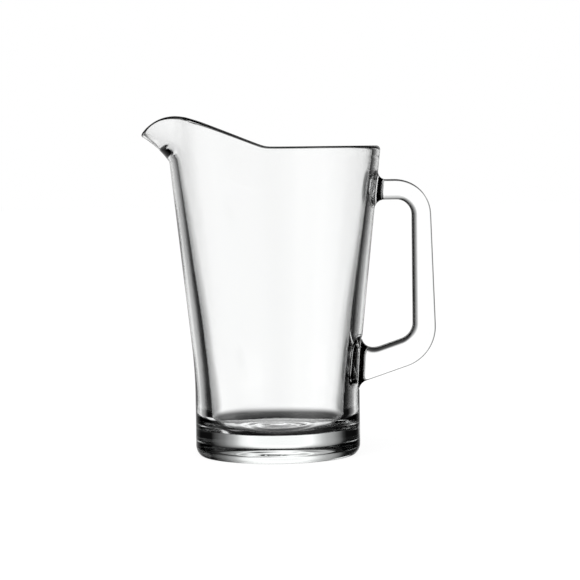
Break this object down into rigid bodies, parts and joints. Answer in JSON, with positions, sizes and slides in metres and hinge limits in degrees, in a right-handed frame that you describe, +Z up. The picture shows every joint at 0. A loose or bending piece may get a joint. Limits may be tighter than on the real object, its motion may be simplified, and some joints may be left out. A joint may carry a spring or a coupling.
{
  "type": "beer pitcher",
  "caption": "Heavy clear glass pitcher with a tapered round body, a drawn-out pouring spout with a rising rim, and a solid glass handle with flared roots.",
  "frame": {"origin": "middle of the overall length and width, on the plane that the foot stands on", "axes": "+Z up, +X towards the handle, -X towards the spout, +Y across the grip"},
  "size_m": [0.1978, 0.1434, 0.2298],
  "materials": {
    "vessel_glass": "clear, fire-polished",
    "handle_glass": "clear, fire-polished"
  },
  "bodies": {
    "root": {"vessel": "vessel_glass", "handle": "handle_glass"}
  },
  "joints": []
}
